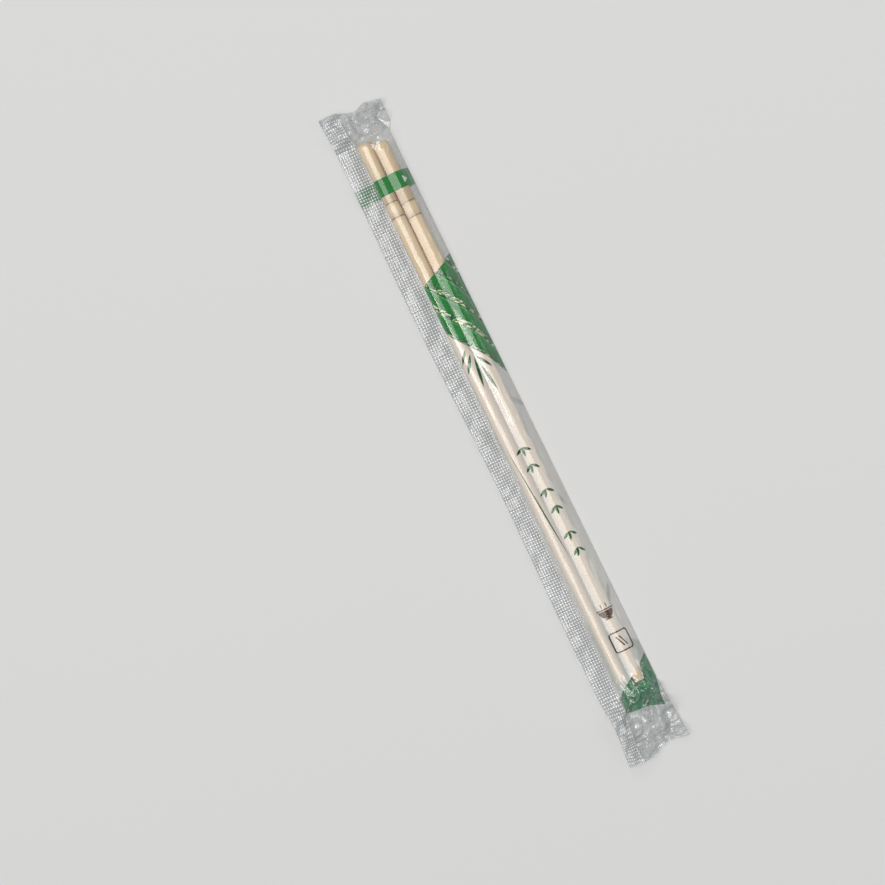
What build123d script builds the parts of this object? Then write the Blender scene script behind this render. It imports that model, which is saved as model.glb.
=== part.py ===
from build123d import *

import os
from math import acos, atan2, cos, degrees, hypot, pi, sin

# A pair of round bamboo chopsticks, sealed side by side in a clear film sleeve.
#
# Millimetres, +Z up. The pair lies flat: the thick ends point to +Y, the tips to -Y.
# The origin is at the middle of the underside, on the surface that the pack lies on.

# One chopstick
stick_length = 200.0
grip_diameter = 5.0  # the thick part, which is parallel
grip_length = 80.0  # from the thick end to where the taper starts
tip_diameter = 3.5
grip_end_radius = 1.1  # rounding of the thick end
tip_edge_chamfer = 0.12  # the tip is sawn square
ring_distance = 22.0  # first ring groove, from the thick end
ring_pitch = 5.3  # first ring groove to the second
ring_radius = 0.18  # half-round section of a ring groove

# How the two lie together
stick_gap = 0.3  # between the two thick parts
stick_stagger = 2.0  # the right one lies this much nearer the tip end

# The film: one web, wrapped round the pair, its long edges sealed together as a fin
film_thickness = 0.15
film_clearance = 0.10  # film to wood
film_past_grips = 12.0  # from the left chopstick's thick end to the film's end
film_past_tips = 24.0  # from the right chopstick's tip to the film's end
end_seal_length = 8.0  # pressed flat across both ends
flat_width = 16.0  # of the closed tube, pressed flat
fin_width = 7.0
fin_neck = 0.6  # the fin's seam to the film's left side
slack_right = 4.9  # the right chopstick's axis to the tube's right fold
slack_left_tip = 0.7  # how much looser the left side is at the tips than at the grips
fold_radius = 0.40  # outside of the film at its two folds
flat_crown = 0.30  # what is left of the tube's rise where the end seals start
stick_end_room = 0.6  # along the chopsticks, from their ends to where the film closes in
taper_spans = 5  # straight spans of film along the taper

# Worked out from these
grip_radius = grip_diameter / 2
tip_radius = tip_diameter / 2
stick_pitch = grip_diameter + stick_gap  # axis to axis, across
taper_slope = (grip_radius - tip_radius) / (stick_length - grip_length)
film_length = film_past_grips + stick_length + stick_stagger + film_past_tips
wrap = film_clearance + film_thickness
fin_thickness = 2 * film_thickness  # two layers of film
left_side = grip_radius + wrap  # the left chopstick's axis to the film's left side
tube_middle = (stick_pitch + slack_right - left_side) / 2  # from the left chopstick's axis
fin_edge = -left_side - fin_neck - fin_width
right_edge = max(stick_pitch + slack_right, tube_middle + flat_width / 2)
left_edge = min(fin_edge, tube_middle - flat_width / 2)
left_x = -(left_edge + right_edge) / 2  # puts the origin in the middle of the width
right_x = left_x + stick_pitch
left_top = film_length / 2 - film_past_grips
right_top = left_top - stick_stagger


def radius_at(distance):
    """A chopstick's radius this far from its thick end."""
    return grip_radius - taper_slope * max(0.0, distance - grip_length)


def height_at(distance):
    """Height of a chopstick's axis: its taper lies along the film, its thick end is lifted."""
    return wrap + grip_radius - taper_slope * (distance - grip_length)


def chopstick(x, top):
    """One chopstick with its thick end at y = top, domed, ringed twice and tapered."""
    grip = Cylinder(grip_radius, grip_length, align=(Align.CENTER, Align.CENTER, Align.MIN))
    taper = Cone(
        grip_radius,
        tip_radius,
        stick_length - grip_length,
        align=(Align.CENTER, Align.CENTER, Align.MIN),
    )
    stick = grip + Pos(0, 0, grip_length) * taper
    ends = stick.edges().filter_by(GeomType.CIRCLE).sort_by(Axis.Z)
    stick = fillet(ends[0], grip_end_radius)
    tip = stick.edges().filter_by(GeomType.CIRCLE).sort_by(Axis.Z)[-1]
    stick = chamfer(tip, tip_edge_chamfer)
    for ring in range(2):
        stick -= Pos(0, 0, ring_distance + ring * ring_pitch) * Torus(grip_radius, ring_radius)
    tilt = degrees(atan2(taper_slope, 1))
    laid = Rot(X=90 + tilt) * stick
    return Pos(x, top, height_at(0)) * laid


def outline(y, circles):
    """The film's closed outline at y, drawn tight round circles (x, z, radius) in order."""
    count = len(circles)
    angles = []
    for i, (x, z, r) in enumerate(circles):
        next_x, next_z, next_r = circles[(i + 1) % count]
        span = hypot(next_x - x, next_z - z)
        angles.append(atan2(next_z - z, next_x - x) - acos((r - next_r) / span))
    edges = []
    for i, (x, z, r) in enumerate(circles):
        start, end = angles[i - 1], angles[i]
        while end < start:
            end += 2 * pi
        next_x, next_z, next_r = circles[(i + 1) % count]

        def on(cx, cz, radius, angle):
            return (cx + radius * cos(angle), y, cz + radius * sin(angle))

        middle = (start + end) / 2
        edges.append(ThreePointArc(on(x, z, r, start), on(x, z, r, middle), on(x, z, r, end)))
        edges.append(Line(on(x, z, r, end), on(next_x, next_z, next_r, angles[i])))
    return Face(Wire(edges))


def around_pair(y, shrink):
    """Where the film goes round the pair at y, its surface moved in by shrink."""
    loose = slack_left_tip * min(1.0, max(0.0, (left_top - y) / stick_length))
    down_left, down_right = left_top - y, right_top - y
    return outline(
        y,
        [
            (left_x - left_side - loose + fold_radius, fold_radius, fold_radius - shrink),
            (right_x + slack_right - fold_radius, fold_radius, fold_radius - shrink),
            (right_x, height_at(down_right), radius_at(down_right) + wrap - shrink),
            (left_x, height_at(down_left), radius_at(down_left) + wrap - shrink),
        ],
    )


def pressed_flat(y, shrink):
    """Where the film is nearly flat, at the inner edge of an end seal."""
    middle = left_x + tube_middle
    reach = flat_width / 2 - fold_radius
    low = (fold_radius, fold_radius - shrink)
    high = (fold_radius + flat_crown, fold_radius - shrink)
    return outline(
        y,
        [
            (middle - reach, *low),
            (middle + reach, *low),
            (middle + stick_pitch / 2, *high),
            (middle - stick_pitch / 2, *high),
        ],
    )


def film_body(shrink, end_wall):
    """The wrapped tube between its end seals, its surface moved in by shrink."""
    seal_top = film_length / 2 - end_seal_length - end_wall
    seal_bottom = -film_length / 2 + end_seal_length + end_wall
    grips = left_top + stick_end_room
    shoulder = right_top - grip_length
    tips = right_top - stick_length - stick_end_room
    span = (shoulder - tips) / taper_spans
    sections = [pressed_flat(seal_top, shrink), around_pair(grips, shrink)]
    for i in range(taper_spans + 1):
        sections.append(around_pair(shoulder - i * span, shrink))
    sections.append(pressed_flat(seal_bottom, shrink))
    return loft(sections, ruled=True)


def film_sleeve():
    """Tube, two end seals and the fin along the left, in one piece."""
    corner = (Align.MIN, Align.MIN, Align.MIN)
    flat_left = left_x + tube_middle - flat_width / 2
    seal = Box(flat_width, end_seal_length, fin_thickness, align=corner)
    seal_top = Pos(flat_left, film_length / 2 - end_seal_length, 0) * seal
    seal_bottom = Pos(flat_left, -film_length / 2, 0) * seal
    fin = Box(fin_width + fin_neck + fold_radius, film_length, fin_thickness, align=corner)
    fin = Pos(left_x + fin_edge, -film_length / 2, 0) * fin
    skin = film_body(0.0, 0.0) + seal_top + seal_bottom + fin
    return skin - film_body(film_thickness, fin_thickness)


os.makedirs("parts", exist_ok=True)
export_step(chopstick(left_x, left_top), "parts/left_chopstick.step")
export_step(chopstick(right_x, right_top), "parts/right_chopstick.step")
export_step(film_sleeve(), "parts/film_sleeve.step")
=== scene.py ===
import math

import bmesh
import bpy
import numpy as np
from mathutils import Matrix, Vector


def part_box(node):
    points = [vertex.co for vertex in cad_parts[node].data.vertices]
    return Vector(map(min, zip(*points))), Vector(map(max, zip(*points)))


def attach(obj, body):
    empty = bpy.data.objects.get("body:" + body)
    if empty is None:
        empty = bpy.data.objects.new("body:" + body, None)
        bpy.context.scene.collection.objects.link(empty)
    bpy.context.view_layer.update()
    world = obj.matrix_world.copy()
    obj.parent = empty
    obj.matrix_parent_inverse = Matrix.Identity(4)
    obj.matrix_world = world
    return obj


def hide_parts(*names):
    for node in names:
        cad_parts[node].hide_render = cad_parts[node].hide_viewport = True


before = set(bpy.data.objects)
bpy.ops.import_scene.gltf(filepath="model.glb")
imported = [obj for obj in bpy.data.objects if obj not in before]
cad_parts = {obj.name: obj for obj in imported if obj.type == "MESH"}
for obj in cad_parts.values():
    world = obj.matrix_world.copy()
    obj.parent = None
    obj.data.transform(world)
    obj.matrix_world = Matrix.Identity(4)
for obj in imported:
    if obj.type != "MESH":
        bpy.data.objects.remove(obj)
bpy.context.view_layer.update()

MM = 0.001

# Chopsticks: what their boxes don't give. Distances are from the thick end.
TIP_DIAMETER = 3.5 * MM
GRIP_LENGTH = 80 * MM
END_ROUNDING = 1.1 * MM
TIP_CHAMFER = 0.12 * MM
RINGS = (22.0 * MM, 27.3 * MM)
RING_RADIUS = 0.18 * MM
RING_LINE = (0.10 * MM, 0.30 * MM)
LARGEST_BOW = 0.10 * MM
AROUND = 72

# Film: its thickness, its seals, and the tube that it makes round the sticks
FILM = 0.04 * MM
FIN_FILM = 0.08 * MM
END_SEAL = 8 * MM
FLAT_WIDTH = 16 * MM
FLAT_FOLD = 0.06 * MM
FIN_WIDTH = 7 * MM
FIN_NECK = 0.6 * MM
SLACK_RIGHT = 4.9 * MM
SLACK_LEFT_TIP = 0.7 * MM
SLACK_RIGHT_TIP = 0.9 * MM
FOLD = 0.10 * MM
WOOD_TO_FILM = 0.06 * MM
END_ROOM = 0.6 * MM
BOTTOM_LAYER = 0.04 * MM
TOP_LAYER = 0.16 * MM
BRIDGE_DIP = 0.35 * MM
RIB_PITCH = 1.05 * MM
RIB_HEIGHT = 0.08 * MM
DOT_HEIGHT = 0.22 * MM
KNURL = (0.95 * MM, 1.0 * MM)
KNURL_START = 107.0

# Points across and along the film's two pieces
COLUMNS, ROWS = 104, 440
FIN_COLUMNS, FIN_ROWS = 32, 952
ARC_POINTS = 80

# Print, in millimetres: across the web from its left corner, and along it from the thick end
BAND_MIDDLE, BAND_HALF = 16.2, 2.95
RIGHT_FOLD, RIGHT_FOLD_LEAN = 20.45, 0.0128

# Picture
FIELD = 0.2977
LEAN = math.radians(25.8)
LOOK_AT = (-20.2 * MM, 5.5 * MM)


class Value:
    """One output of a finish's nodes, which takes part in ordinary sums."""

    def __init__(self, finish, socket):
        self.finish, self.socket = finish, socket

    def maths(self, operation, *others):
        inputs = dict(enumerate((self, *others)))
        return self.finish.node("ShaderNodeMath", {"operation": operation}, inputs)

    def __add__(self, other):
        return self.maths("ADD", other)

    __radd__ = __add__

    def __mul__(self, other):
        return self.maths("MULTIPLY", other)

    __rmul__ = __mul__

    def __sub__(self, other):
        return self.maths("SUBTRACT", other)

    def __rsub__(self, other):
        return self * -1 + other

    def __abs__(self):
        return self.maths("ABSOLUTE")

    def __pow__(self, other):
        return self.maths("POWER", other)

    def fract(self):
        return self.maths("FRACT")

    def floor(self):
        return self.maths("FLOOR")

    def most(self, other):
        return self.maths("MAXIMUM", other)

    def clamped(self):
        return self.finish.node("ShaderNodeClamp", {}, {0: self})

    def ramp(self, low, high):
        """0 below low, 1 above high, and even between them."""
        return ((self - low) * (1 / (high - low))).clamped()


class Finish:
    """A material being made up from nodes."""

    def __init__(self, name):
        self.material = bpy.data.materials.new(name)
        self.material.use_nodes = True
        self.tree = self.material.node_tree
        self.tree.nodes.clear()

    def node(self, kind, settings, inputs, output=0):
        made = self.tree.nodes.new(kind)
        for key, value in settings.items():
            if key == "stops":
                self.set_stops(made.color_ramp, value)
            else:
                setattr(made, key, value)
        for key, value in inputs.items():
            if isinstance(value, Value):
                self.tree.links.new(value.socket, made.inputs[key])
            else:
                made.inputs[key].default_value = value
        return Value(self, made.outputs[output])

    @staticmethod
    def set_stops(ramp, stops):
        while len(ramp.elements) < len(stops):
            ramp.elements.new(0.5)
        for element, (place, colour) in zip(ramp.elements, stops):
            element.position, element.color = place, colour

    def blend(self, share, a, b):
        settings = {"data_type": "RGBA"}
        return self.node("ShaderNodeMix", settings, {0: share, 6: a, 7: b}, 2)

    def noise(self, vector, scale, detail=2.0, roughness=0.5):
        inputs = {"Vector": vector, "Scale": scale, "Detail": detail, "Roughness": roughness}
        return self.node("ShaderNodeTexNoise", {}, inputs)

    def stretched(self, vector, scale, move=(0, 0, 0)):
        inputs = {"Vector": vector, "Scale": scale, "Location": move}
        return self.node("ShaderNodeMapping", {}, inputs)

    def attribute(self, name):
        return self.node("ShaderNodeAttribute", {"attribute_name": name}, {}, 2)

    def bump(self, strength, distance, height):
        inputs = {"Strength": strength, "Distance": distance, "Height": height}
        return self.node("ShaderNodeBump", {}, inputs)

    def parts(self, vector):
        first = self.node("ShaderNodeSeparateXYZ", {}, {0: vector})
        outputs = first.socket.node.outputs
        return [Value(self, outputs[i]) for i in range(3)]

    def shader(self, inputs):
        return self.node("ShaderNodeBsdfPrincipled", {}, inputs)

    def mixed(self, share, a, b):
        return self.node("ShaderNodeMixShader", {}, {0: share, 1: a, 2: b})

    def done(self, surface):
        output = self.tree.nodes.new("ShaderNodeOutputMaterial")
        self.tree.links.new(surface.socket, output.inputs["Surface"])
        return self.material


def colour(red, green, blue):
    """A colour written as it shows, from 0 to 255, made linear."""
    def linear(c):
        c /= 255
        return c / 12.92 if c <= 0.04045 else ((c + 0.055) / 1.055) ** 2.4

    return (linear(red), linear(green), linear(blue), 1.0)


def edge(distance, soft=0.08):
    """1 where distance is over 0 and 0 where it is under, with a fine soft edge."""
    return distance.ramp(-soft, soft)


def joined(masks):
    """1 where any of the masks is."""
    whole = masks[0]
    for mask in masks[1:]:
        whole = whole.most(mask)
    return whole


# ---------------------------------------------------------------- bamboo

WOOD_DEEP = colour(224, 195, 154)
WOOD_PALE = colour(238, 217, 185)
FIBRE_DARK = colour(186, 142, 90)
FIBRE_PALE = colour(242, 228, 202)
FIBRE_FINE = colour(205, 166, 112)
RING_BROWN = colour(140, 98, 56)
SAWN_DARK = colour(150, 104, 60)
SAWN_PALE = colour(232, 206, 162)


def bamboo(name, move):
    """Turned bamboo: fine fibres along the stick, darker in the ring grooves and on sawn ends."""
    f = Finish(name)
    place = f.node("ShaderNodeTexCoord", {}, {}, 3)
    along = f.attribute("from_grip_end")
    sawn = f.attribute("sawn")
    bundles = f.noise(f.stretched(place, (2600, 75, 2600), move), 1.0, 3.0, 0.62)
    hair = f.noise(f.stretched(place, (7000, 260, 7000), move), 1.0, 2.0, 0.6)
    tone = f.noise(f.stretched(place, (160, 14, 160), move), 1.0, 2.0, 0.5)
    base = f.blend(tone.ramp(0.34, 0.66), WOOD_DEEP, WOOD_PALE)
    base = f.blend(bundles.ramp(0.60, 0.74) * 0.42, base, FIBRE_DARK)
    base = f.blend(bundles.ramp(0.40, 0.28) * 0.35, base, FIBRE_PALE)
    base = f.blend(hair.ramp(0.45, 0.75) * 0.22, base, FIBRE_FINE)
    wander = (tone - 0.5) * 0.0004
    # The ring grooves are drawn darker brown, by uneven amounts along each ring.
    ring = joined([1 - abs(along + wander - distance).ramp(*RING_LINE) for distance in RINGS])
    ring_patches = f.noise(f.stretched(place, (900, 900, 900), move), 1.0, 2.0, 0.6).ramp(0.3, 0.6)
    base = f.blend(ring * (0.45 + ring_patches * 0.4), base, RING_BROWN)
    dots = f.node("ShaderNodeTexVoronoi", {}, {"Vector": place, "Scale": 2600.0})
    base = f.blend(sawn, base, f.blend(dots.ramp(0.16, 0.34), SAWN_DARK, SAWN_PALE))
    inputs = {
        "Base Color": base,
        "Roughness": (0.46 + hair * 0.16).clamped(),
        "Normal": f.bump(0.35, 0.06 * MM, bundles * 0.5 + hair * 0.5),
        "Specular IOR Level": 0.35,
    }
    return f.done(f.shader(inputs))


def stick_profile(radius, length):
    """Half outline of one chopstick as (distance from the grip end, radius)."""
    tip = TIP_DIAMETER / 2
    points = [(0.0, 0.0), (0.0, (radius - END_ROUNDING) * 0.5)]
    for i in range(9):
        turn = math.pi / 2 * i / 8
        distance = END_ROUNDING * (1 - math.cos(turn))
        points.append((distance, radius - END_ROUNDING * (1 - math.sin(turn))))
    for ring in RINGS:
        for i in range(9):
            turn = math.pi * i / 8
            depth = RING_RADIUS * math.sin(turn)
            points.append((ring - RING_RADIUS * math.cos(turn), radius - depth))
    rows = 24
    shares = [i / rows for i in range(1, rows + 1)]
    points += [(RINGS[1] + (GRIP_LENGTH - RINGS[1]) * share, radius) for share in shares]
    end = length - TIP_CHAMFER
    for share in shares:
        points.append((GRIP_LENGTH + (end - GRIP_LENGTH) * share, radius + (tip - radius) * share))
    points += [(length, tip - TIP_CHAMFER), (length, tip * 0.5), (length, 0.0)]
    return points


def chopstick(node, seed):
    """One turned stick where the frame holds it, its taper lying along the film."""
    low, high = (Vector(c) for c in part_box(node))
    radius = (high.x - low.x) / 2
    length = high.y - low.y
    slope = (radius - TIP_DIAMETER / 2) / (length - GRIP_LENGTH)
    bm = bmesh.new()
    ring = [bm.verts.new((r, -d, 0)) for d, r in stick_profile(radius, length)]
    edges = [bm.edges.new(pair) for pair in zip(ring, ring[1:])]
    bmesh.ops.spin(
        bm,
        geom=ring + edges,
        cent=(0, 0, 0),
        axis=(0, 1, 0),
        angle=2 * math.pi,
        steps=AROUND,
        use_merge=True,
    )
    bmesh.ops.remove_doubles(bm, verts=bm.verts, dist=1e-7)
    bmesh.ops.recalc_face_normals(bm, faces=bm.faces)
    distance = bm.verts.layers.float.new("from_grip_end")
    sawn = bm.verts.layers.float.new("sawn")
    rng = np.random.default_rng(seed)
    bow = rng.uniform(-LARGEST_BOW, LARGEST_BOW)
    for v in bm.verts:
        v[distance] = -v.co.y
        v[sawn] = 1.0 if -v.co.y > length - TIP_CHAMFER / 2 else 0.0
        share = -v.co.y / length
        v.co.x += bow * math.sin(math.pi * share)
    turn = Matrix.Rotation(math.atan(slope), 4, "X")
    bmesh.ops.transform(bm, matrix=turn, verts=bm.verts)
    middle = Vector(((low.x + high.x) / 2, high.y, high.z - radius))
    bmesh.ops.translate(bm, vec=middle, verts=bm.verts)
    piece = new_piece(node + "_turned", bm)
    piece.data.materials.append(bamboo(node + "_bamboo", (seed * 3.7, seed * 1.3, seed * 2.1)))
    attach(piece, "root")
    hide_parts(node)
    return piece


def new_piece(name, bm, smooth=True):
    mesh = bpy.data.meshes.new(name)
    bm.to_mesh(mesh)
    bm.free()
    mesh.polygons.foreach_set("use_smooth", [smooth] * len(mesh.polygons))
    piece = bpy.data.objects.new(name, mesh)
    bpy.context.collection.objects.link(piece)
    return piece


# ---------------------------------------------------------------- film shape

left_low, left_high = (Vector(c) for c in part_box("left_chopstick"))
right_low, right_high = (Vector(c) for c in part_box("right_chopstick"))
film_low, film_high = (Vector(c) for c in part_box("film_sleeve"))
LEFT_X = (left_low.x + left_high.x) / 2
RIGHT_X = (right_low.x + right_high.x) / 2
GRIP_RADIUS = (left_high.x - left_low.x) / 2
STICK = left_high.y - left_low.y
SLOPE = (GRIP_RADIUS - TIP_DIAMETER / 2) / (STICK - GRIP_LENGTH)
AXIS_AT_GRIP = left_high.z - GRIP_RADIUS
TUBE_MIDDLE = (LEFT_X - GRIP_RADIUS + RIGHT_X + SLACK_RIGHT) / 2
FULL_TOP = left_high.y + END_ROOM
FULL_BOTTOM = right_low.y - END_ROOM
SEAL_TOP = film_high.y - END_SEAL
SEAL_BOTTOM = film_low.y + END_SEAL


def smooth_step(t):
    t = np.clip(t, 0, 1)
    return t * t * (3 - 2 * t)


def stick_radius(distance):
    return GRIP_RADIUS - SLOPE * max(0.0, distance - GRIP_LENGTH)


def circles_at(y):
    """The four circles that the film is drawn round at y: two folds, then the two sticks."""
    rise = AXIS_AT_GRIP
    share = min(1.0, max(0.0, (left_high.y - y) / STICK))
    side = GRIP_RADIUS + WOOD_TO_FILM
    full = [(LEFT_X - side - SLACK_LEFT_TIP * share + FOLD, FOLD, FOLD)]
    full.append((RIGHT_X + SLACK_RIGHT + SLACK_RIGHT_TIP * share - FOLD, FOLD, FOLD))
    for x, top in ((RIGHT_X, right_high.y), (LEFT_X, left_high.y)):
        distance = min(max(top - y, 0.0), STICK)
        full.append((x, rise - SLOPE * distance, stick_radius(distance) + WOOD_TO_FILM))
    reach = FLAT_WIDTH / 2 - FOLD
    spread = (RIGHT_X - LEFT_X) / 2
    flat = [
        (TUBE_MIDDLE - reach, FLAT_FOLD, FLAT_FOLD),
        (TUBE_MIDDLE + reach, FLAT_FOLD, FLAT_FOLD),
        (TUBE_MIDDLE + spread, FLAT_FOLD * 1.6, FLAT_FOLD),
        (TUBE_MIDDLE - spread, FLAT_FOLD * 1.6, FLAT_FOLD),
    ]
    if y > FULL_TOP:
        share = float(smooth_step((y - FULL_TOP) / (SEAL_TOP - FULL_TOP)))
    elif y < FULL_BOTTOM:
        share = float(smooth_step((FULL_BOTTOM - y) / (FULL_BOTTOM - SEAL_BOTTOM)))
    else:
        share = 0.0
    return [tuple(a + (b - a) * share for a, b in zip(p, q)) for p, q in zip(full, flat)]


def drawn_round(circles, shares):
    """Points at these shares of the way round the film's outline, from its left corner up and
    over, and the length all the way round."""
    runs = []
    order = [circles[0], circles[3], circles[2], circles[1]]
    count = len(order)
    angles = []
    for i, (x, z, r) in enumerate(order):
        nx, nz, nr = order[(i + 1) % count]
        span = math.hypot(nx - x, nz - z)
        angles.append(math.atan2(nz - z, nx - x) + math.acos((r - nr) / span))
    for i, (x, z, r) in enumerate(order):
        start, end = angles[i - 1], angles[i]
        while end > start:
            end -= 2 * math.pi
        nx, nz, nr = order[(i + 1) % count]
        turn = np.linspace(start, end, ARC_POINTS)
        runs.append(np.stack([x + r * np.cos(turn), z + r * np.sin(turn)], 1))
        runs.append(np.array([[nx + nr * math.cos(angles[i]), nz + nr * math.sin(angles[i])]]))
    line = np.concatenate(runs)
    line = np.concatenate([line, line[:1]])
    steps = np.hypot(*np.diff(line, axis=0).T)
    reach = np.concatenate([[0], np.cumsum(steps)])
    at = shares * reach[-1]
    points = np.stack([np.interp(at, reach, line[:, i]) for i in range(2)], 1)
    return points, reach[-1]


def smooth_waves(x, y, rng, count, wavelength, height):
    """A smooth unevenness, as a sum of a few long waves."""
    lift = np.zeros_like(x)
    for _ in range(count):
        turn, phase = rng.uniform(0, 2 * math.pi, 2)
        size = wavelength * rng.uniform(0.7, 1.5)
        lift += np.sin(2 * math.pi * (x * math.cos(turn) + y * math.sin(turn)) / size + phase)
    return lift * height / math.sqrt(count)


def sharp_folds(x, y, rng, count, spacing, steepness, lean, spread):
    """Straight sharp folds that cross, as film creases: flat facets between ridges and valleys."""
    bend_x = smooth_waves(x, y, rng, 3, 14 * MM, 0.9 * MM)
    bend_y = smooth_waves(x, y, rng, 3, 14 * MM, 0.9 * MM)
    lift = np.zeros_like(x)
    for _ in range(count):
        turn = rng.normal(lean, spread)
        size = rng.uniform(*spacing)
        across = (x + bend_x) * math.sin(turn) - (y + bend_y) * math.cos(turn)
        phase = np.abs((across / size + rng.uniform(0, 1)) % 1.0 - 0.5)
        strength = smooth_waves(x, y, rng, 2, 10 * MM, 0.7) + 0.5
        lift += phase * size * steepness * np.clip(strength, 0, 1)
    return lift


def end_weight(y):
    """0 along the sticks, rising to 1 in the two crumpled ends."""
    top = smooth_step((y - (left_high.y - 2 * MM)) / (7 * MM))
    bottom = smooth_step((right_low.y - y) / (8 * MM))
    return np.maximum(top, bottom)


def crumple(x, y):
    """The lift that both layers share where the ends are crumpled, never below the table."""
    rng = np.random.default_rng(41)
    lift = np.abs(smooth_waves(x, y, rng, 4, 15 * MM, 1.1 * MM))
    lift += sharp_folds(x, y, rng, 5, (6 * MM, 13 * MM), 0.46, math.pi / 2, 1.0)
    lift += sharp_folds(x, y, rng, 6, (2.2 * MM, 4.5 * MM), 0.34, math.pi / 2, 1.1)
    lift -= 1.5 * MM
    return np.maximum(lift, 0.0) * end_weight(y)


def spread_rows(count, stops):
    """count + 1 places from the first stop to the last, shared out as each stretch needs."""
    places = [place for place, _ in stops]
    needs = np.cumsum([need for _, need in stops])
    return np.interp(np.linspace(0, needs[-1], count + 1), needs, places)


def film_grid(name, across, along):
    """A flat grid with a map of its own, ready to be wrapped, and each point's column and row."""
    bm = bmesh.new()
    bm.loops.layers.uv.new("web")
    bmesh.ops.create_grid(bm, x_segments=across, y_segments=along, size=1, calc_uvs=True)
    piece = new_piece(name, bm)
    flat = np.empty(len(piece.data.vertices) * 3)
    piece.data.vertices.foreach_get("co", flat)
    flat = flat.reshape(-1, 3)
    column = np.rint((flat[:, 0] + 1) / 2 * across).astype(int)
    row = np.rint((flat[:, 1] + 1) / 2 * along).astype(int)
    return piece, column, row


def set_web(piece, places, web):
    """Moves the grid's points to their places and writes where each lies on the flat web."""
    mesh = piece.data
    mesh.vertices.foreach_set("co", places.astype(np.float32).ravel())
    corner = np.empty(len(mesh.loops), dtype=np.int32)
    mesh.loops.foreach_get("vertex_index", corner)
    mesh.uv_layers["web"].data.foreach_set("uv", web[corner].astype(np.float32).ravel())
    mesh.update()


def weld(piece, turn_over):
    """Joins the edges that meet and points the faces outwards."""
    bm = bmesh.new()
    bm.from_mesh(piece.data)
    bmesh.ops.remove_doubles(bm, verts=bm.verts, dist=1e-7)
    if turn_over:
        bmesh.ops.reverse_faces(bm, faces=bm.faces)
    bm.to_mesh(piece.data)
    bm.free()


def give_wall(piece, thickness):
    """Two faces a film's thickness apart, the inner one with the piece's second finish."""
    wall = piece.modifiers.new("film", "SOLIDIFY")
    wall.thickness = thickness
    wall.offset = -1
    wall.material_offset = 1


def uneven_edge(x, y):
    """Shifts in plan, so that the film's cut ends are neither straight nor square."""
    rng = np.random.default_rng(31)
    weight = end_weight(y)
    dx = smooth_waves(x, y, rng, 4, 19 * MM, 0.55 * MM)
    dy = smooth_waves(x, y, rng, 4, 12 * MM, 0.50 * MM)
    lean = np.where(y < 0, 0.10, -0.07)
    return dx * weight, (dy + (x - TUBE_MIDDLE) * lean) * weight


def seal_ribs(y):
    """Fine ribs that the jaws press across both end seals."""
    inside = smooth_step((y - SEAL_TOP) / (0.6 * MM)) + smooth_step((SEAL_BOTTOM - y) / (0.6 * MM))
    return inside * np.cos(2 * math.pi * y / RIB_PITCH)


def wrap():
    """The tube of film with its two pressed ends, drawn round the sticks and creased."""
    piece, column, row = film_grid("film_wrap", COLUMNS, ROWS)
    # Each place along the film, and the share of the rows that the stretch before it needs
    stops = [
        (film_high.y, 0),
        (SEAL_TOP, 0.20),
        (left_high.y - 6 * MM, 0.14),
        (right_low.y + 5 * MM, 0.28),
        (SEAL_BOTTOM, 0.18),
        (film_low.y, 0.20),
    ]
    ys = spread_rows(ROWS, stops)
    shares = np.linspace(0, 1, COLUMNS + 1)
    outline = np.empty((ROWS + 1, COLUMNS + 1, 2))
    girth = np.empty(ROWS + 1)
    for i, y in enumerate(ys):
        outline[i], girth[i] = drawn_round(circles_at(y), shares)
    x, z = outline[row, column, 0], outline[row, column, 1]
    y = ys[row]
    share = shares[column]
    web = np.stack([share * girth[row], left_high.y - y], 1)

    upper = np.clip((z - 0.3 * MM) / (1.5 * MM), 0, 1)
    along_sticks = 1 - end_weight(y)

    # Long creases in the loose fold at the right
    slack_x0 = RIGHT_X + 1.0 * MM
    slack_x1 = RIGHT_X + SLACK_RIGHT + SLACK_RIGHT_TIP * (left_high.y - y) / STICK
    loose = smooth_step((x - slack_x0) / (1.5 * MM)) * smooth_step((slack_x1 - x) / (1.2 * MM))
    rng = np.random.default_rng(7)
    out = sharp_folds(x, y, rng, 5, (2.2 * MM, 6 * MM), 0.12, math.pi / 2, 0.28)
    out += np.abs(smooth_waves(x, y, rng, 5, 28 * MM, 0.28 * MM))
    lift = out * loose * upper * along_sticks

    # Folds gathered at the sticks' ends
    past = np.maximum(y - left_high.y, right_low.y - y)
    near_end = np.where(past > 0, 1.0, np.exp(-((past / (3.5 * MM)) ** 2)))
    rng = np.random.default_rng(23)
    gather = sharp_folds(x, y, rng, 6, (1.5 * MM, 3.6 * MM), 0.30, math.pi / 2, 0.30)
    lift += gather * near_end * upper

    # Slight unevenness all over, and the dip where the film bridges the two sticks
    rng = np.random.default_rng(5)
    lift += np.abs(smooth_waves(x, y, rng, 5, 16 * MM, 0.05 * MM)) * upper
    from_middle = (x - (LEFT_X + RIGHT_X) / 2) / (1.1 * MM)
    valley = np.exp(-(from_middle**2)) * upper * along_sticks
    z = z + lift - valley * BRIDGE_DIP

    dx, dy = uneven_edge(x, y)
    z = z + crumple(x, y) + seal_ribs(y) * RIB_HEIGHT
    z = np.maximum(z, np.where(share < 0.55, TOP_LAYER, BOTTOM_LAYER))
    set_web(piece, np.stack([x + dx, y + dy, z], 1), web)
    weld(piece, turn_over=False)
    give_wall(piece, FILM)
    return piece


def knurl(across, along):
    """Raised dots of the fin's hot rollers."""
    dots = np.cos(2 * math.pi * across / KNURL[0]) * 0.5 + 0.5
    ribs = np.cos(2 * math.pi * along / KNURL[1]) * 0.5 + 0.5
    return dots * ribs


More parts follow.
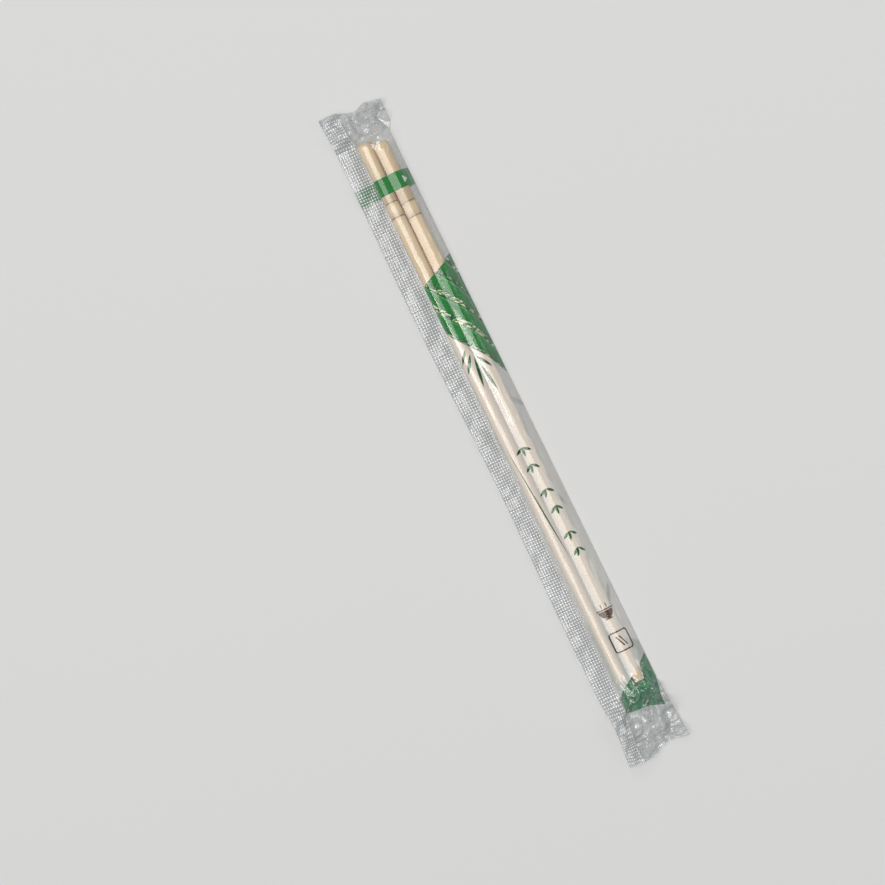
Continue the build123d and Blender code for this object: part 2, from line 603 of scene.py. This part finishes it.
def fin():
    """The knurled seam of the film, folded out to the left and lying on the table."""
    piece, column, row = film_grid("film_fin_seal", FIN_COLUMNS, FIN_ROWS)
    t = column / FIN_COLUMNS
    ys = np.linspace(film_high.y, film_low.y, FIN_ROWS + 1)
    y = ys[row]
    corners = [circles_at(v)[0] for v in ys]
    root = np.array([middle - radius for middle, _, radius in corners]) + 0.25 * MM
    rng = np.random.default_rng(3)
    outer = film_low.x + 0.35 * MM + smooth_waves(0 * ys, ys, rng, 5, 60 * MM, 0.28 * MM)
    x = root[row] + (outer - root)[row] * t
    across = t * (FIN_WIDTH + FIN_NECK)
    rng = np.random.default_rng(9)
    rise = np.abs(smooth_waves(x, y, rng, 5, 26 * MM, 0.45 * MM)) * smooth_step(t * 1.6)
    rise += sharp_folds(x, y, rng, 4, (5 * MM, 12 * MM), 0.07, 0.3, 0.6) * smooth_step(t * 2)
    sealed = smooth_step((across - 0.7 * MM) / (0.3 * MM))
    pressed = knurl(across, y) * sealed * DOT_HEIGHT
    dx, dy = uneven_edge(x, y)
    z = 0.06 * MM + FIN_FILM + rise + crumple(x, y) + pressed
    web = np.stack([-across, left_high.y - y], 1)
    set_web(piece, np.stack([x + dx, y + dy, z], 1), web)
    weld(piece, turn_over=True)
    give_wall(piece, FIN_FILM)
    return piece


# ---------------------------------------------------------------- film finish

GREEN_DEEP = colour(0, 72, 34)
GREEN_DARK = colour(0, 98, 42)
GREEN = colour(0, 126, 46)
GREEN_LIGHT = colour(58, 166, 84)
TEAL = colour(0, 108, 76)
LEAF = colour(0, 112, 42)
LEAF_DARK = colour(0, 62, 28)
CREAM = colour(226, 230, 192)
BROWN = colour(78, 40, 28)
MILK = colour(234, 231, 226)
ARROW = colour(214, 226, 216)
# White of the painted glints on the fin's knurl dots
PAINTED_GLINT_WHITE = colour(252, 253, 253)

# Leaves: where each starts on the web, the way it points, its length and its width
TOP_LEAVES = (
    ((8.2, 75.6), 66, 5.5, 0.16),
    ((7.6, 77.0), 128, 5.9, 0.95),
    ((8.4, 79.0), 121, 7.0, 1.15),
    ((9.2, 80.4), 98, 10.8, 1.0),
    ((9.9, 80.2), 57, 6.6, 1.0),
    ((10.1, 83.4), 82, 10.4, 1.05),
)
SPRIGS_AT = (
    (9.9, 114.6),
    (10.2, 120.8),
    (10.9, 130.4),
    (11.3, 136.8),
    (11.6, 146.6),
    (11.9, 152.6),
)
LOWER_LEAVES = (
    ((24.0, 96.0), 130, 11.0, 1.5),
    ((25.0, 98.0), 96, 12.0, 1.6),
    ((26.0, 97.0), 60, 10.0, 1.4),
    ((25.0, 128.0), 115, 12.0, 1.6),
    ((26.0, 129.0), 74, 12.0, 1.6),
    ((25.0, 152.0), 100, 10.0, 1.4),
    ((22.0, 176.0), 250, 9.0, 1.3),
    ((23.5, 178.0), 280, 11.0, 1.4),
    ((25.5, 176.0), 305, 9.0, 1.3),
)


class Print:
    """The printed face: a Finish with the web's two directions in millimetres."""

    def __init__(self, f):
        self.f = f
        place = f.node("ShaderNodeUVMap", {"uv_map": "web"}, {})
        self.web = f.node("ShaderNodeVectorMath", {"operation": "SCALE"}, {0: place, 3: 1000.0})
        self.u, self.s, _ = f.parts(self.web)

    def within(self, distance, half, soft=0.10):
        """1 where distance is less than half, with a fine soft edge."""
        return ((half - abs(distance)) * (1 / soft) + 0.5).clamped()

    def turned(self, at, degrees, size):
        """The web's place seen from at, turned and measured in size."""
        inputs = {
            "Vector": self.web,
            "Location": (at[0], at[1], 0),
            "Rotation": (0, 0, math.radians(degrees)),
            "Scale": (size[0], size[1], 1),
        }
        return self.f.parts(self.f.node("ShaderNodeMapping", {"vector_type": "TEXTURE"}, inputs))

    def leaf(self, at, degrees, length, width):
        """A slender pointed leaf that starts at a place and grows the way it is turned."""
        t, w, _ = self.turned(at, degrees, (length, width))
        half = t * (1 - t) * 2.0
        return ((half - abs(w)) * (width / 0.12) + 0.5).clamped()

    def fine_bump(self, scale, strength):
        """Faint unevenness of plain film."""
        f = self.f
        fine = f.noise(f.stretched(self.web, (*scale, 1)), 1.0, 3.0, 0.6)
        return f.bump(strength, 0.1 * MM, fine)


def stalks(p, slope, pitch, shift):
    """Slanting bamboo stalks side by side, with pale chinks crossed by twigs between some."""
    f, u, s = p.f, p.u, p.s
    norm = 1 / math.hypot(1, slope)
    q = (s - u * slope) * norm
    r = (u + s * slope) * norm
    bowed = q + (r * 0.21).maths("SINE") * 0.18
    cell = (bowed + shift) * (1 / pitch)
    which, t = cell.floor(), cell.fract()
    stops = [
        (0.0, GREEN_DARK),
        (0.07, GREEN_LIGHT),
        (0.16, GREEN),
        (0.55, GREEN),
        (0.80, GREEN_DARK),
        (1.0, GREEN_DEEP),
    ]
    tone = f.node("ShaderNodeValToRGB", {"stops": stops}, {0: t})
    patches = f.noise(f.stretched(p.web, (0.16, 0.16, 1)), 1.0, 2.0, 0.5)
    tone = f.blend(patches.ramp(0.55, 0.70) * 0.45, tone, GREEN_LIGHT)
    tone = f.blend(patches.ramp(0.44, 0.32) * 0.45, tone, GREEN_DARK)
    knots = ((r + which * 6.1 + t * (1 - t) * 2.2) * (1 / 16.0)).fract()
    tone = f.blend(p.within(knots - 0.50, 0.011, 0.012) * 0.85, tone, GREEN_DEEP)
    tone = f.blend(p.within(knots - 0.522, 0.008, 0.010) * 0.6, tone, GREEN_LIGHT)
    grain = f.noise(f.stretched(p.web, (0.35, 0.35, 1), (3.1, 7.7, 0)), 1.0, 2.0, 0.55)
    skew = r * 0.36 + q * 0.62
    twigs = (skew + grain * 3.0).fract()
    third = ((which + 0.5) * (1 / 3)).fract()
    wide = 0.05 + third.ramp(0.3, 0.6) * 0.10
    open_chink = ((wide - abs(t - 0.84)) * 25 + 0.5).clamped() * grain.ramp(0.43, 0.50)
    chink = open_chink * (1 - p.within(twigs - 0.5, 0.17, 0.08))
    chink = chink * (1 - p.within(t - 0.845, 0.022, 0.02))
    return f.blend(chink * 0.95, tone, CREAM)


def crossing_folds(p):
    """Fine straight folds that cross, flat between: their height, and the lines where they crease,
    which the film shades grey as painted shade.
    """
    drift = p.f.noise(p.web, 0.22, 1.0) * 2.4
    height, crease = 0, 0
    for degrees, size in ((24, 1.9), (-35, 2.7), (68, 1.5), (115, 3.4)):
        turn = math.radians(degrees)
        across = (p.u * math.cos(turn) + p.s * math.sin(turn)) * (1 / size) + drift
        rise = abs(across.fract() - 0.5)
        height = height + rise * size
        crease = crease + (1 - rise.ramp(0.0, 0.07 / size))
    return height, (crease * 0.6).clamped()


def tear_band(p):
    """The band round the whole tube, and the plain arrow on it that points to the open side."""
    band = p.within(p.s - BAND_MIDDLE, BAND_HALF)
    x, y, _ = p.turned((15.6, 16.5), 0, (1, 1))
    return band, band * p.within(x, 1.2) * edge((1.2 - x) * 0.55 - abs(y))


def upper_print(p):
    """The upper face: its block of stalks, its milky panel, and leaves with a tapered line."""
    u, s = p.u, p.s
    top_edge = edge(s - 53.8 + u * 0.44)
    block = top_edge * edge(64.5 - s + u * 1.30)
    panel = top_edge * edge((204.8 - s) - u * 0.60)
    masks = [p.leaf(*leaf) for leaf in TOP_LEAVES]
    for i, at in enumerate(SPRIGS_AT):
        for turn in (148 - 9 * (i % 2), 92 + 11 * (i % 3), 34 + 8 * (i % 2)):
            masks.append(p.leaf(at, turn, 3.3, 0.95))
    x, y, _ = p.turned((5.0, 113.0), 86.0, (42.0, 1.0))
    masks.append(((x * (1 - x) * 0.95 - abs(y)) * 8 + 0.5).clamped())
    return block, panel, joined(masks)


def brown_marks(p):
    """A steaming bowl, and a rounded frame with two slanting sticks."""
    x, y, _ = p.turned((10.7, 175.8), 0, (1, 1))
    bowl = edge(2.7 - (x * x + y * y) ** 0.5, 0.05) * edge(y, 0.05)
    rim = p.within(x, 3.1) * p.within(y + 0.45, 0.22)
    foot = p.within(x, 1.3) * p.within(y - 2.9, 0.25)
    steam = joined([p.within(x - 0.9, 0.16), p.within(x + 0.9, 0.16)]) * p.within(y + 1.8, 0.75)
    x, y, _ = p.turned((11.2, 187.2), 0, (1, 1))
    corner_x = (abs(x) - 2.6).most(0.0)
    corner_y = (abs(y) - 2.5).most(0.0)
    frame_line = p.within((corner_x * corner_x + corner_y * corner_y) ** 0.5 - 0.85, 0.25)
    slant = x - y * 0.45
    sticks = joined([p.within(slant + 0.6, 0.26), p.within(slant - 0.6, 0.26)]) * p.within(y, 1.9)
    return joined([bowl, rim, foot, steam, frame_line, sticks])


def lower_print(p, past_fold):
    """The lower face: a milky panel between two blocks of stalks, with leaf sprigs."""
    s = p.s
    top = edge(s - 45.0 - past_fold * 0.44)
    foot = edge(213.5 - s - past_fold * 0.30)
    first = top * edge(88.0 - s - past_fold * 1.30)
    second = edge(s - 190.0 + past_fold * 0.9) * foot
    return first.most(second), top * foot, joined([p.leaf(*leaf) for leaf in LOWER_LEAVES])


def film(name):
    """Clear film printed in green, brown and milky white, creased sharply at its ends."""
    f = Finish(name)
    p = Print(f)
    past_fold = p.u - (RIGHT_FOLD - p.s * RIGHT_FOLD_LEAN)
    lower = edge(past_fold, 0.06)
    upper = 1 - lower
    band, arrow = tear_band(p)
    marks = brown_marks(p) * upper
    above, below = upper_print(p), lower_print(p, past_fold)
    blocks, milk, leaves = [(a * upper).most(b * lower) for a, b in zip(above, below)]

    stalk_tone = stalks(p, 1.30, 5.9, 1.4)
    stalk_tone = f.blend(p.s.ramp(150.0, 160.0) * 0.55, stalk_tone, TEAL)
    leaf_tone = f.blend(f.noise(p.web, 0.9, 1.0).ramp(0.4, 0.6), LEAF_DARK, LEAF)
    tone = f.blend(leaves, MILK, leaf_tone)
    tone = f.blend(marks, tone, BROWN)
    tone = f.blend(blocks, tone, stalk_tone)
    tone = f.blend(band, tone, GREEN)
    tone = f.blend(arrow, tone, ARROW)
    cover = joined([milk * 0.62, leaves * 0.97, marks * 0.95, blocks * 0.96, band * 0.95])

    ends = p.s.ramp(-3.0, -9.0).most(p.s.ramp(203.0, 210.0))
    fine = f.noise(f.stretched(p.web, (0.45, 0.12, 1)), 1.0, 1.0, 0.5)
    folds, ridges = crossing_folds(p)
    bump = f.bump(0.6, 0.4 * MM, fine * 0.03 + folds * ends * 0.55)
    # More grey haze in the crumpled ends and along their creases: painted shade on the folds.
    return film_shader(f, tone, cover, bump, 0.012 + ends * (0.03 + ridges * 0.30))


def clear_film(f, bump, haze_and_shade_share, roughness):
    """Clear film under its own gloss, with a faint grey haze, greyer where it is seen along its
    surface: painted shade on its edges and folds.
    """
    facing = f.node("ShaderNodeLayerWeight", {}, {"Blend": 0.5, "Normal": bump}, 1)
    gloss = 0.045 + facing**5 * 0.9
    clear = f.node("ShaderNodeBsdfTransparent", {}, {"Color": (0.99, 0.993, 0.992, 1)})
    shine = {"Color": (1, 1, 1, 1), "Roughness": roughness, "Normal": bump}
    glare = f.node("ShaderNodeBsdfGlossy", {}, shine)
    haze_and_painted_shade = f.node("ShaderNodeBsdfDiffuse", {}, {"Color": (0.44, 0.46, 0.47, 1)})
    # The grey diffuse share: the haze passed in, with any painted shade in it, plus painted shade
    # where the film is seen edge-on.
    body = f.mixed((haze_and_shade_share + facing * facing * 0.34).clamped(), clear, haze_and_painted_shade)
    return f.mixed(gloss, body, glare)


def inner_film():
    """The plain inner face of the film."""
    f = Finish("clear_film_inside")
    bump = Print(f).fine_bump((1.5, 0.5), 0.2)
    return f.done(clear_film(f, bump, 0.01, 0.08))


def film_shader(f, tone, cover, bump, haze_and_shade_share):
    """Print on clear film, under the same gloss. It lets light on through, so it shades little."""
    bare = clear_film(f, bump, haze_and_shade_share, 0.09)
    onward = f.node("ShaderNodeLightPath", {}, {}, 1)
    cover = cover * (1 - onward * 0.75)
    ink = f.shader(
        {
            "Base Color": tone,
            "Roughness": 0.5,
            "Specular IOR Level": 0.1,
            "Coat Weight": 0.35,
            "Coat Roughness": 0.16,
            "Normal": bump,
        }
    )
    return f.done(f.mixed(cover, bare, ink))


def fin_film():
    """Two layers of clear film, sealed together in fine dots, which are drawn white as painted
    glints.
    """
    f = Finish("knurled_film")
    p = Print(f)
    bump = p.fine_bump((1.5, 0.8), 0.3)
    band = p.within(p.s - BAND_MIDDLE, BAND_HALF) * 0.5
    sealed = p.u.ramp(-0.5, -0.9)
    dx = (p.u * (1 / (KNURL[0] / MM)) + 0.5).fract() - 0.5
    dy = ((p.s - KNURL_START) * (1 / (KNURL[1] / MM)) + 0.5).fract() - 0.5
    dot = ((dx * dx + dy * dy) ** 0.5).ramp(0.36, 0.20) * sealed
    # The sealed strip is greyer: partly the film's own greyness, partly painted shade between the
    # painted glints.
    bare = clear_film(f, bump, 0.10 + sealed * 0.38, 0.10)
    painted_glints = f.shader({"Base Color": PAINTED_GLINT_WHITE, "Roughness": 0.35, "Normal": bump})
    # The knurl dots in flat white: painted glints.
    bare = f.mixed(dot * 0.80, bare, painted_glints)
    ink = f.shader({"Base Color": GREEN, "Roughness": 0.3, "Coat Weight": 0.5, "Normal": bump})
    # The band's ink gives way on the dots, so the painted glints show through it.
    return f.done(f.mixed(band * (1 - dot * 0.7), bare, ink))


# ---------------------------------------------------------------- stage

TABLE_SIZE = 6
TABLE = colour(221, 221, 220)


def stage():
    """A pale table, a dim sky and soft lamps."""
    bm = bmesh.new()
    bmesh.ops.create_grid(bm, x_segments=1, y_segments=1, size=TABLE_SIZE)
    table = new_piece("table", bm, smooth=False)
    f = Finish("pale_table")
    table.data.materials.append(f.done(f.shader({"Base Color": TABLE, "Roughness": 0.75})))

    world = bpy.data.worlds.new("studio")
    bpy.context.scene.world = world
    world.use_nodes = True
    sky = world.node_tree.nodes["Background"]
    sky.inputs["Color"].default_value = (0.92, 0.95, 1.0, 1)
    sky.inputs["Strength"].default_value = 0.28

    def lamp(name, place, size, power, tint=(1, 1, 1)):
        data = bpy.data.lights.new(name, "AREA")
        data.shape = "RECTANGLE"
        data.size, data.size_y = size
        data.energy = power
        data.color = tint
        made = bpy.data.objects.new(name, data)
        made.location = place
        made.rotation_euler = (-Vector(place)).to_track_quat("-Z", "Y").to_euler()
        bpy.context.collection.objects.link(made)

    sun = bpy.data.lights.new("key", "SUN")
    sun.energy = 1.62
    sun.angle = math.radians(50)
    sun.color = (1.0, 0.975, 0.94)
    key = bpy.data.objects.new("key", sun)
    key.rotation_euler = Vector((0.34, -0.10, -0.95)).to_track_quat("-Z", "Y").to_euler()
    bpy.context.collection.objects.link(key)
    lamp("fill", (0.75, -0.10, 0.55), (0.5, 0.5), 0.85, tint=(0.93, 0.96, 1.0))
    lamp("strip", (-0.42, 0.05, 0.86), (0.08, 0.70), 0.80)
    lamp("top", (0.05, 0.75, 0.75), (0.5, 0.3), 1.25)


def camera():
    """Straight above, with the pack leaning over in the picture."""
    data = bpy.data.cameras.new("camera")
    data.lens, data.sensor_width = 85, 36
    data.clip_start, data.clip_end = 0.01, 10
    made = bpy.data.objects.new("camera", data)
    made.location = (*LOOK_AT, FIELD * data.lens / data.sensor_width)
    made.rotation_euler = (0, 0, -LEAN)
    bpy.context.collection.objects.link(made)
    bpy.context.scene.camera = made


stage()
camera()
chopstick("left_chopstick", 1)
chopstick("right_chopstick", 2)
film_wrap = wrap()
film_fin = fin()
inner = inner_film()
for piece, outer in ((film_wrap, film("printed_film")), (film_fin, fin_film())):
    piece.data.materials.append(outer)
    piece.data.materials.append(inner)
for piece in (film_wrap, film_fin):
    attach(piece, "root")
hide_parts("film_sleeve")

scene = bpy.context.scene
scene.view_settings.view_transform = "Standard"
scene.cycles.transparent_max_bounces = 32
